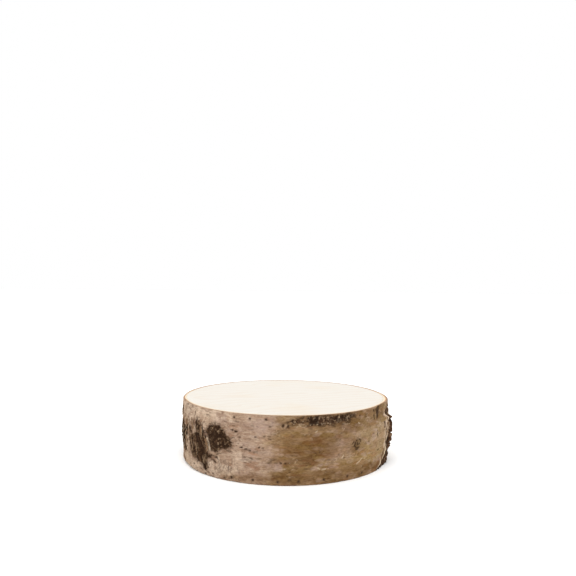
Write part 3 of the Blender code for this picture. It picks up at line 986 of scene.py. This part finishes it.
def addSheets():
    sheets = list(curls["placed"])
    for first, last, howMany in curls["seeded"]:
        for spot in range(howMany):
            tone = curls["tones"][int(curlPick.choice(4, p=curls["toneShares"]))]
            sheets.append((curlPick.uniform(first, last), curlPick.uniform(10, 50),
                           curlPick.uniform(7, 17), curlPick.uniform(2.2, 4.2),
                           curlPick.uniform(35, 95), int(curlPick.choice((-1, 1))),
                           curlPick.uniform(-1.5, 1.5), tone))
    points, faces, values = [], [], {}
    for seed, sheet in enumerate(sheets):
        sheetPoints, sheetFaces, sheetValues = curlSheet(*sheet, seed * 7.3)
        before = len(points) * len(sheetPoints)
        points.append(sheetPoints)
        faces += [[corner + before for corner in face] for face in sheetFaces]
        for name, field in sheetValues.items():
            values.setdefault(name, []).append(field.ravel())
    values = {name: np.concatenate(fields) for name, fields in values.items()}
    return makePiece("barkCurls", np.vstack(points), faces, values, barkMaterial)


barkCurls = addSheets()
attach(barkCurls, "root")
print("bark curls", len(barkCurls.data.polygons), "faces")


# Pin heads: low domes in the bark's dishes, and four on each sawn face
facePins = dict(
    places=[(45.5, 84.5), (-88.7, 38.7), (-38.2, -86.4), (87.1, -43.8)],
    headRadius=0.8, domeRise=0.3,
)
dome = dict(sides=14, rings=3, sunk=0.5)      # sunk: how deep its rim goes, for its rise


def makeDome(middle, outwards, headRadius, rise):
    # a closed dome: its rim goes a little way into what it sits on
    along = Vector(outwards).to_track_quat("Z", "Y").to_matrix()
    points = []
    sides = dome["sides"]
    levels = [(-dome["sunk"], 1.0)]
    for ring in range(dome["rings"]):
        t = math.pi / 2 * ring / dome["rings"]
        levels.append((math.sin(t), math.cos(t)))
    for level, out in levels:
        for side in range(sides):
            t = 2 * math.pi * side / sides
            spot = Vector((out * headRadius * math.cos(t), out * headRadius * math.sin(t),
                           level * rise))
            points.append(tuple(Vector(middle) + along @ spot))
    points.append(tuple(Vector(middle) + along @ Vector((0, 0, rise))))
    faces = gridFaces(len(levels), sides, False, True)
    last = (len(levels) - 1) * sides
    faces += [[last + s, last + (s + 1) % sides, len(points) - 1] for s in range(sides)]
    faces.append(list(range(sides))[::-1])
    return points, faces


def makePins():
    points, faces = [], []
    domes = []
    for pinAngle, pinHeight in pinSpots:
        column = round(pinAngle / 360 * sleeve["around"]) % sleeve["around"]
        row = round(pinHeight / sliceTop * (sleeve["levels"] - 1))
        t = math.radians(pinAngle)
        out = radius[row, column] + pins["standOff"]
        domes.append(((out * math.cos(t), out * math.sin(t), pinHeight),
                      (math.cos(t), math.sin(t), 0), pins["headRadius"], pins["domeRise"]))
    for x, y in facePins["places"]:
        domes.append(((x, y, sliceTop - facePins["domeRise"]), (0, 0, 1),
                      facePins["headRadius"], facePins["domeRise"]))
        domes.append(((x, -y, facePins["domeRise"]), (0, 0, -1), facePins["headRadius"],
                      facePins["domeRise"]))
    for place in domes:
        domePoints, domeFaces = makeDome(*place)
        faces += [[corner + len(points) for corner in face] for face in domeFaces]
        points += domePoints
    material, tree, shader = startMaterial("darkened pin", pins["roughness"], pins["specular"])
    shader.inputs["Base Color"].default_value = (*pins["colour"], 1)
    return makePiece("pinHeads", np.array(points), faces, {}, material)


pinHeads = makePins()
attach(pinHeads, "root")
print("pin heads", len(pinSpots) + 2 * len(facePins["places"]))


# Wood round: its top face slightly dished by sanding, edges just broken

wood = dict(
    around=360, rings=60, dishing=0.06, edgeBreak=0.35,      # points, points, mm, mm
    grainTurn=20,              # degrees the long grain leans from +X
    heart=(-3.5, 3.0),         # middle of the long grain ovals, mm
    ovalStretch=6.4,           # how long an oval is for its width
    lineSpacing=11.0,          # mm between the darker lines
    waviness=34.0,             # mm the lines wander by
    pale=(0.614, 0.567, 0.486), line=(0.53, 0.40, 0.265), lineShare=0.42, fibreShare=0.08,
    ochreStain=(0.60, 0.45, 0.25), stainShare=0.35,
    roughness=0.42, specular=0.5, coat=1.0, coatRoughness=0.3, fibreDepth=0.02,
)


def makeWoodMaterial(look):
    material, tree, shader = startMaterial("sanded birch", look["roughness"], look["specular"])
    shader.inputs["Coat Weight"].default_value = look["coat"]
    shader.inputs["Coat Roughness"].default_value = look["coatRoughness"]
    spot = tree.nodes.new("ShaderNodeTexCoord").outputs["Object"]
    turned = tree.nodes.new("ShaderNodeMapping")
    turned.vector_type = "TEXTURE"
    turned.inputs["Location"].default_value = (look["heart"][0] * mm, look["heart"][1] * mm, 0.03)
    turned.inputs["Rotation"].default_value = (0, 0, math.radians(look["grainTurn"]))
    turned.inputs["Scale"].default_value = (look["ovalStretch"] * mm, mm, 6 * mm)
    tree.links.new(spot, turned.inputs["Vector"])
    waves = grainNoise(tree, (2.2, 1.4, 1), 30, 2, 0.5)
    length = tree.nodes.new("ShaderNodeVectorMath")
    length.operation = "LENGTH"
    tree.links.new(turned.outputs["Vector"], length.inputs[0])
    ring = maths(tree, "ADD", length.outputs["Value"],
                 maths(tree, "MULTIPLY", waves, look["waviness"]))
    ring = maths(tree, "FRACT", maths(tree, "DIVIDE", ring, look["lineSpacing"]))
    lines = colourRamp(tree, ring, (0.0, (0, 0, 0)), (0.62, (0.25, 0.25, 0.25)),
                       (0.90, (1, 1, 1)), (1.0, (0.0, 0.0, 0.0)))
    fibre = stretchShare(tree, grainNoise(tree, (14, 14, 14), 0.35, 3, 0.6), 0.3, 0.7)
    cloud = stretchShare(tree, grainNoise(tree, (1.4, 1, 1), 38, 3, 0.5), 0.52, 0.72)
    colour = blendColour(tree, maths(tree, "MULTIPLY", lines, look["lineShare"]), look["pale"],
                         look["line"])
    colour = blendColour(tree, maths(tree, "MULTIPLY", cloud, look["stainShare"]), colour,
                         look["ochreStain"])
    colour = blendColour(tree, maths(tree, "MULTIPLY", fibre, look["fibreShare"]), colour,
                         look["line"])
    tree.links.new(colour, shader.inputs["Base Color"])
    addBump(tree, shader, fibre, look["fibreDepth"], 0.5)
    return material


woodMaterial = makeWoodMaterial(wood)
profile = [(0.0, 0.0)]
for ring in range(1, wood["rings"] + 1):
    profile.append(((woodRadius - wood["edgeBreak"]) * ring / wood["rings"], 0.0))
profile.append((woodRadius - 0.1, 0.1))
profile.append((woodRadius, wood["edgeBreak"]))
profile += [(woodRadius, sliceTop - level) for level in (sliceTop / 2, wood["edgeBreak"])]
profile.append((woodRadius - 0.1, sliceTop - 0.1))
for ring in range(wood["rings"], -1, -1):
    profile.append(((woodRadius - wood["edgeBreak"]) * ring / wood["rings"], sliceTop))
woodTurn = np.radians(np.arange(wood["around"]) * 360 / wood["around"])
ringSpots = [(out * math.cos(t), out * math.sin(t), up)
             for out, up in profile[1:-1] for t in woodTurn]
woodSpots = np.array([(0, 0, 0)] + ringSpots + [(0, 0, sliceTop)])
topSide = woodSpots[:, 2] > sliceTop - 0.05
woodSpots[topSide, 2] -= wood["dishing"] * (0.5 + 0.5 * softNoise(woodSpots[topSide], 30, 91))
ringCount = len(profile) - 2
woodFaces = [[1 + corner for corner in face]
             for face in gridFaces(ringCount, wood["around"], False, True)]
lastRing = 1 + (ringCount - 1) * wood["around"]
for step in range(wood["around"]):
    after = (step + 1) % wood["around"]
    woodFaces.append([0, 1 + after, 1 + step])
    woodFaces.append([len(woodSpots) - 1, lastRing + step, lastRing + after])
woodRound = makePiece("woodRound", woodSpots, woodFaces, {}, woodMaterial)
woodRound.data.set_sharp_from_angle(angle=math.radians(40))
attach(woodRound, "root")
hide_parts("wood")
print("wood round", len(woodRound.data.polygons), "faces")


# Floor, light and camera

studio = dict(
    floorColour=(0.93, 0.93, 0.925), floorRadius=40.0, floorDrop=0.0001,      # metres
    skyStrength=1.0,
    sunTurn=(12, -3, 0), sunStrength=1.7, sunSoftness=50,    # degrees, strength, degrees
)
floorMaterial, floorTree, floorShader = startMaterial("pale floor", 0.9, 0.2)
floorShader.inputs["Base Color"].default_value = (*studio["floorColour"], 1)
bpy.ops.mesh.primitive_circle_add(vertices=96, radius=studio["floorRadius"], fill_type="NGON",
                                  location=(0, 0, -studio["floorDrop"]))
floor = bpy.context.object
floor.name = "floor"
floor.data.materials.append(floorMaterial)

world = bpy.data.worlds.new("studio")
bpy.context.scene.world = world
world.use_nodes = True
world.node_tree.nodes["Background"].inputs["Color"].default_value = (1, 1, 1, 1)
world.node_tree.nodes["Background"].inputs["Strength"].default_value = studio["skyStrength"]
sunLamp = bpy.data.lights.new("softSun", "SUN")
sunLamp.energy = studio["sunStrength"]
sunLamp.angle = math.radians(studio["sunSoftness"])
softSun = bpy.data.objects.new("softSun", sunLamp)
softSun.rotation_euler = [math.radians(degree) for degree in studio["sunTurn"]]
bpy.context.scene.collection.objects.link(softSun)

view = dict(
    lens=37.5, sensor=36.0,        # mm
    away=6.357 * woodRadius * mm,  # from the slice's middle
    above=12.59, roll=0.61,        # degrees
    middleAt=(286.1, 424.2),       # where the slice's middle shows, in the 576 pixel frame
    framePixels=576, nearest=0.01,
)


def placeCamera(look):
    camera = bpy.data.objects.new("camera", bpy.data.cameras.new("camera"))
    bpy.context.scene.collection.objects.link(camera)
    camera.data.lens = look["lens"]
    camera.data.sensor_width = look["sensor"]
    camera.data.clip_start = look["nearest"]
    lensPixels = look["lens"] / look["sensor"] * look["framePixels"]
    middle = look["framePixels"] / 2
    above = math.radians(look["above"])
    back = Vector((0, -math.cos(above), math.sin(above)))
    camera.location = Vector((0, 0, sliceTop * mm / 2)) + back * look["away"]
    aside = math.atan((look["middleAt"][0] - middle) / lensPixels)
    down = math.atan((look["middleAt"][1] - middle) / lensPixels * math.cos(aside))
    forward, right = -back, Vector((1, 0, 0))
    up = right.cross(forward)
    forward, up = (forward * math.cos(down) + up * math.sin(down),
                   up * math.cos(down) - forward * math.sin(down))
    forward, right = (forward * math.cos(aside) - right * math.sin(aside),
                      right * math.cos(aside) + forward * math.sin(aside))
    roll = math.radians(look["roll"])
    right, up = (right * math.cos(roll) + up * math.sin(roll),
                 up * math.cos(roll) - right * math.sin(roll))
    camera.rotation_euler = Matrix((right, up, -forward)).transposed().to_euler()
    bpy.context.scene.camera = camera


placeCamera(view)
bpy.context.scene.view_settings.view_transform = "Standard"
print("floor, light and camera set")
